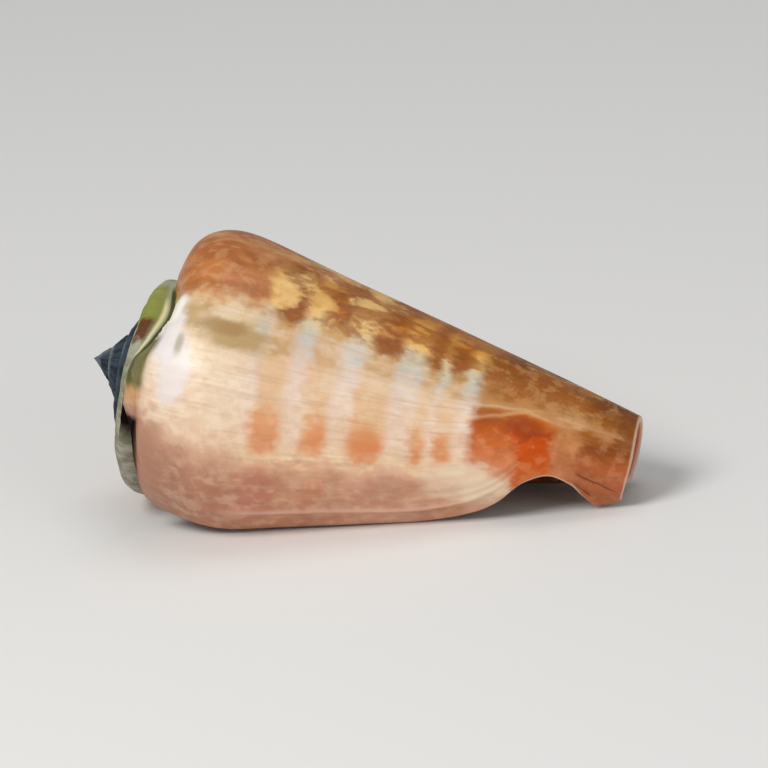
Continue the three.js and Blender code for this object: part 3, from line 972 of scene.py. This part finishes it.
# %% Rim, mouth and inner wall
mouth = paint(
    "#e39468",
    ("#f4d2b2", 1, between(growth, -34, None, 12)),
    ("#bf5c36", 1, between(growth, None, -70, 30)),
)
pillar = paint("#5a2414", ("#8f4326", 1, between(patches, 0.5, None, 0.1)))
colour = paint(
    colour,
    ("#e2bfa6", 0.8, between(layer, 0.25, None, 0.2), between(layer, None, 1.6, 0.3)),
    (mouth, 1, between(layer, 1.4, None, 0.5)),
    (pillar, 1, between(layer, 2.6, None, 0.05)),
)
print("Nodes so far:", len(tree.nodes))

# %% [markdown]
# ### Gloss
#
# The glaze is smooth but follows the growth lines, which the eye reads as silk. A bump of 0.1 mm gives
# the lines and threads, weaker at the front and on the spire, where they are worn. The gloss is clear on
# the shoulder, softer at the front, dull on the chalky spire, and next to none in the gap.
# Lime with a little protein has an IOR of about 1.5, and light goes about a millimetre into it.

# %% Bump, gloss and surface
LINE_HEIGHT = 0.0001
LIGHT_DEPTH = 0.0012, 0.0006, 0.0003
calm_at_front = add("MapRange", {0: station, 1: 26.0, 2: 46.0, 3: 1.0, 4: 0.3})
calm_at_spire = add("MapRange", {0: station, 1: 2.0, 2: 8.0, 3: 0.35, 4: 1.0})
height = add("Math", {0: growth_streaks, 1: threads}, operation="ADD")
height = all_of(height, all_of(calm_at_front, calm_at_spire))
fine = add("Bump", {"Height": height, "Strength": 0.22, "Distance": LINE_HEIGHT})
rough_lines = add("MapRange", {0: growth_streaks, 1: 0.2, 2: 0.8, 3: 0.28, 4: 0.44})
shine = add("MapRange", {0: station, 1: 24.0, 2: 38.0, 3: 0.4, 4: 0.22})
shine = add("Mix", {0: on_spire, 2: shine, 3: 0.15}, data_type="FLOAT")
lip_gap_shade = all_of(lip_gap_shade, between(layer, None, 0.5, 0.2))
# Where shade is painted in the two gaps, the gloss is taken away as well.
gap = add("Mix", {0: on_spire, 2: lip_gap_shade, 3: spire_gap_shade}, data_type="FLOAT")
surface = add(
    "BsdfPrincipled",
    {
        "Base Color": colour,
        "Roughness": add("Mix", {0: on_spire, 2: rough_lines, 3: 0.62}, data_type="FLOAT"),
        "IOR": 1.5,
        "Specular IOR Level": add("Mix", {0: gap, 2: shine, 3: 0.03}, data_type="FLOAT"),
        "Normal": fine,
        "Subsurface Weight": 0.12,
        "Subsurface Radius": LIGHT_DEPTH,
        "Subsurface Scale": 1.0,
    },
)
tree.links.new(surface, tree.nodes["Material Output"].inputs["Surface"])
skin_mesh.materials.append(glaze)
print("Nodes in the finish:", len(tree.nodes))

# %% [markdown]
# ## Floor and light
#
# The object lies on a plain pale table, matt as paper. One broad soft light stands above and in front, to
# the left, two weaker ones fill the right and the top, and the world is a dim pale grey. One small lamp
# would show the form more sharply, but would leave hard glints on the glaze that hide its colours.

# %% Floor
HALF_FLOOR = 1.5
floor_mesh = bpy.data.meshes.new("table_top")
floor_corners = [(x * HALF_FLOOR, y * HALF_FLOOR, 0) for x, y in ((-1, -1), (1, -1), (1, 1), (-1, 1))]
floor_mesh.from_pydata(floor_corners, [], [(0, 1, 2, 3)])
floor = bpy.data.objects.new("floor", floor_mesh)
bpy.context.scene.collection.objects.link(floor)
paper = bpy.data.materials.new("matt_paper")
paper.use_nodes = True
paper_surface = paper.node_tree.nodes["Principled BSDF"].inputs
paper_surface["Base Color"].default_value = linear("#e4e2de")
paper_surface["Roughness"].default_value = 0.85
floor_mesh.materials.append(paper)
print("Floor size in m:", 2 * HALF_FLOOR)

# %% Lights and world
LIGHTS = [
    ("key", (-0.16, -0.26, 0.34), 0.24, 1.32),
    ("fill", (0.34, -0.24, 0.16), 0.3, 0.36),
    ("top", (0.06, 0.1, 0.42), 0.25, 0.3),
]
middle_of_shell = Vector((low + high) / 2000)
for name, where, size, power in LIGHTS:
    lamp = bpy.data.lights.new(name, "AREA")
    lamp.shape, lamp.size, lamp.energy = "DISK", size, power
    light = bpy.data.objects.new(name, lamp)
    light.location = where
    light.rotation_euler = (middle_of_shell - Vector(where)).to_track_quat("-Z", "Y").to_euler()
    bpy.context.scene.collection.objects.link(light)
world = bpy.data.worlds.new("pale_room")
world.use_nodes = True
room = world.node_tree.nodes["Background"].inputs
room["Color"].default_value = linear("#dfe3e8")
room["Strength"].default_value = 0.38
bpy.context.scene.world = world
bpy.context.scene.view_settings.view_transform = "Standard"
print("Lights:", [name for name, *_ in LIGHTS])

# %% [markdown]
# ## Camera
#
# The photo was taken nearly square to the shell's axis, from 12 degrees round towards the front, and the
# axis slopes 10.5 degrees in the picture. So the camera's three directions are worked out from the axis
# and not set by eye. A long lens keeps near and far parts in their true proportions, and the place of the
# apex in the photo's picture, with its scale of 11.42 pixels to the millimetre, gives what it aims at.

# %% Camera
VIEW_YAW = 12.0
AXIS_SLOPE = 10.5
PHOTO_WIDTH, PIXELS_PER_MM = 768, 11.42
APEX_PIXEL = 92, 358
LENS, SENSOR = 600.0, 36.0
apex_right = (APEX_PIXEL[0] - PHOTO_WIDTH / 2) / PIXELS_PER_MM
apex_up = (PHOTO_WIDTH / 2 - APEX_PIXEL[1]) / PIXELS_PER_MM
yaw, slope = np.radians(VIEW_YAW), np.radians(AXIS_SLOPE)
towards = lay @ Vector((np.sin(yaw), -np.cos(yaw), 0))
level = lay @ Vector((np.cos(yaw), np.sin(yaw), 0))
upright = lay @ Vector((0, 0, 1))
right = level * np.cos(slope) + upright * np.sin(slope)
up = upright * np.cos(slope) - level * np.sin(slope)
apex_now = Vector(raised[np.where(used == apex)[0][0]])
aim = apex_now - right * apex_right - up * apex_up
aim += towards * (Vector((low + high) / 2) - aim).dot(towards)
lens = bpy.data.cameras.new("long_lens")
lens.lens, lens.sensor_width = LENS, SENSOR
lens.clip_start, lens.clip_end = 0.01, 20.0
camera = bpy.data.objects.new("camera", lens)
distance = PHOTO_WIDTH / PIXELS_PER_MM * LENS / SENSOR
turned_to = Matrix((right, up, towards)).transposed().to_4x4()
camera.matrix_world = Matrix.Translation((aim + towards * distance) / 1000) @ turned_to
bpy.context.scene.collection.objects.link(camera)
bpy.context.scene.camera = camera
print("Camera distance in mm:", round(distance))
